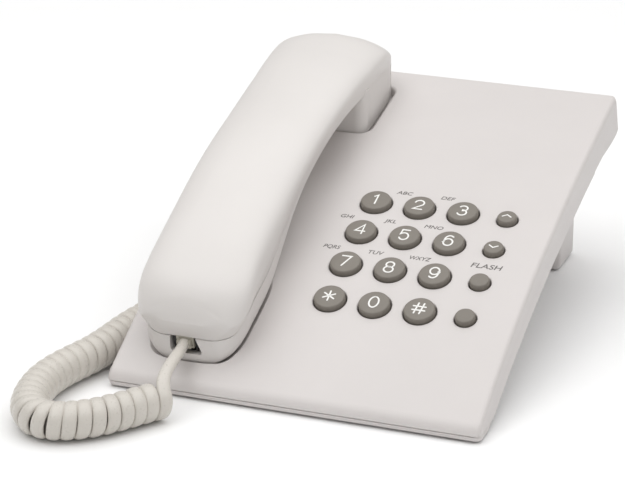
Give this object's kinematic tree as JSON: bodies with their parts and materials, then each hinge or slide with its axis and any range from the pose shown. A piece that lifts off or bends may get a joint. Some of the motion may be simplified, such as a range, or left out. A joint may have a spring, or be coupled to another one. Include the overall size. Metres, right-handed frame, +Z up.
{
  "type": "corded desk telephone",
  "caption": "Corded desk telephone: arched wedge base with push-button keypad and rear stand, long handset resting in two hollows, curly cord from handset to base.",
  "frame": {"origin": "centre of the base's footprint on the table, measured without the cord", "axes": "+X to the user's right, +Y from the user to the back, +Z up"},
  "size_m": [0.1744, 0.2555, 0.096],
  "materials": {
    "ivory_plastic": "satin moulded plastic, warm off-white",
    "handset_plastic": "semi-gloss moulded plastic, warm off-white",
    "key_grey": "matte warm grey keys with white legends",
    "cord_ivory": "satin flexible cord jacket, warm off-white",
    "dark_plastic": "matte black plastic",
    "plug_plastic": "translucent clear plastic plug",
    "grey_rubber": "matte rubber",
    "circuit_board": "green solder mask",
    "steel": "zinc-plated steel"
  },
  "bodies": {
    "base": {"base_top_cover": "ivory_plastic", "base_bottom_cover": "ivory_plastic", "rear_stand": "ivory_plastic", "front_foot_1": "grey_rubber", "front_foot_2": "grey_rubber", "rear_foot_1": "grey_rubber", "rear_foot_2": "grey_rubber", "base_screw_1": "steel", "base_screw_2": "steel", "base_screw_3": "steel", "base_screw_4": "steel", "keypad_membrane": "grey_rubber", "circuit_board": "circuit_board", "hook_switch": "dark_plastic", "ringer_sounder": "dark_plastic", "line_jack": "dark_plastic", "handset_cord_jack": "dark_plastic", "base_cord_plug": "plug_plastic", "handset_cord_tail": "cord_ivory", "curly_cord": "cord_ivory", "base_cord_tail": "cord_ivory"},
    "handset": {"handset_outer_shell": "handset_plastic", "handset_inner_shell": "handset_plastic", "earpiece_capsule": "dark_plastic", "microphone_capsule": "dark_plastic", "handset_weight": "steel", "handset_screw_1": "steel", "handset_screw_2": "steel", "handset_jack": "dark_plastic", "handset_cord_plug": "plug_plastic"},
    "hook_plunger": {"hook_plunger": "ivory_plastic"},
    "ringer_volume_switch": {"ringer_volume_switch": "dark_plastic"},
    "dial_mode_switch": {"dial_mode_switch": "dark_plastic"},
    "key_1": {"key_1": "key_grey"},
    "key_2": {"key_2": "key_grey"},
    "key_3": {"key_3": "key_grey"},
    "key_up": {"key_up": "key_grey"},
    "key_4": {"key_4": "key_grey"},
    "key_5": {"key_5": "key_grey"},
    "key_6": {"key_6": "key_grey"},
    "key_down": {"key_down": "key_grey"},
    "key_7": {"key_7": "key_grey"},
    "key_8": {"key_8": "key_grey"},
    "key_9": {"key_9": "key_grey"},
    "key_flash": {"key_flash": "key_grey"},
    "key_star": {"key_star": "key_grey"},
    "key_0": {"key_0": "key_grey"},
    "key_hash": {"key_hash": "key_grey"},
    "key_redial": {"key_redial": "key_grey"}
  },
  "joints": [
    {"name": "handset_lift", "type": "slide", "parent": "base", "child": "handset", "axis": [0, 0, 1], "range_m": [0, 0.08]},
    {"name": "hook_plunger_slide", "type": "slide", "parent": "base", "child": "hook_plunger", "axis": [0, 0, 1], "range_m": [0, 0.004]},
    {"name": "ringer_volume_switch_slide", "type": "slide", "parent": "base", "child": "ringer_volume_switch", "axis": [1, 0, 0], "range_m": [0, 0.0024]},
    {"name": "dial_mode_switch_slide", "type": "slide", "parent": "base", "child": "dial_mode_switch", "axis": [1, 0, 0], "range_m": [0, 0.0024]},
    {"name": "key_1_press", "type": "slide", "parent": "base", "child": "key_1", "axis": [0, 0.2998, -0.954], "range_m": [0, 0.0015], "stiffness_N_per_m": 300, "springref_m": -0.0005},
    {"name": "key_2_press", "type": "slide", "parent": "base", "child": "key_2", "axis": [0, 0.2998, -0.954], "range_m": [0, 0.0015], "stiffness_N_per_m": 300, "springref_m": -0.0005},
    {"name": "key_3_press", "type": "slide", "parent": "base", "child": "key_3", "axis": [0, 0.2998, -0.954], "range_m": [0, 0.0015], "stiffness_N_per_m": 300, "springref_m": -0.0005},
    {"name": "key_up_press", "type": "slide", "parent": "base", "child": "key_up", "axis": [0, 0.2998, -0.954], "range_m": [0, 0.0015], "stiffness_N_per_m": 300, "springref_m": -0.0005},
    {"name": "key_4_press", "type": "slide", "parent": "base", "child": "key_4", "axis": [0, 0.331, -0.9436], "range_m": [0, 0.0015], "stiffness_N_per_m": 300, "springref_m": -0.0005},
    {"name": "key_5_press", "type": "slide", "parent": "base", "child": "key_5", "axis": [0, 0.331, -0.9436], "range_m": [0, 0.0015], "stiffness_N_per_m": 300, "springref_m": -0.0005},
    {"name": "key_6_press", "type": "slide", "parent": "base", "child": "key_6", "axis": [0, 0.331, -0.9436], "range_m": [0, 0.0015], "stiffness_N_per_m": 300, "springref_m": -0.0005},
    {"name": "key_down_press", "type": "slide", "parent": "base", "child": "key_down", "axis": [0, 0.331, -0.9436], "range_m": [0, 0.0015], "stiffness_N_per_m": 300, "springref_m": -0.0005},
    {"name": "key_7_press", "type": "slide", "parent": "base", "child": "key_7", "axis": [0, 0.3649, -0.9311], "range_m": [0, 0.0015], "stiffness_N_per_m": 300, "springref_m": -0.0005},
    {"name": "key_8_press", "type": "slide", "parent": "base", "child": "key_8", "axis": [0, 0.3649, -0.9311], "range_m": [0, 0.0015], "stiffness_N_per_m": 300, "springref_m": -0.0005},
    {"name": "key_9_press", "type": "slide", "parent": "base", "child": "key_9", "axis": [0, 0.3649, -0.9311], "range_m": [0, 0.0015], "stiffness_N_per_m": 300, "springref_m": -0.0005},
    {"name": "key_flash_press", "type": "slide", "parent": "base", "child": "key_flash", "axis": [0, 0.3649, -0.9311], "range_m": [0, 0.0015], "stiffness_N_per_m": 300, "springref_m": -0.0005},
    {"name": "key_star_press", "type": "slide", "parent": "base", "child": "key_star", "axis": [0, 0.4008, -0.9162], "range_m": [0, 0.0015], "stiffness_N_per_m": 300, "springref_m": -0.0005},
    {"name": "key_0_press", "type": "slide", "parent": "base", "child": "key_0", "axis": [0, 0.4008, -0.9162], "range_m": [0, 0.0015], "stiffness_N_per_m": 300, "springref_m": -0.0005},
    {"name": "key_hash_press", "type": "slide", "parent": "base", "child": "key_hash", "axis": [0, 0.4008, -0.9162], "range_m": [0, 0.0015], "stiffness_N_per_m": 300, "springref_m": -0.0005},
    {"name": "key_redial_press", "type": "slide", "parent": "base", "child": "key_redial", "axis": [0, 0.4008, -0.9162], "range_m": [0, 0.0015], "stiffness_N_per_m": 300, "springref_m": -0.0005}
  ],
  "couplings": [
    {"joint": "hook_plunger_slide", "follows": "handset_lift", "ratio": 0.05}
  ]
}
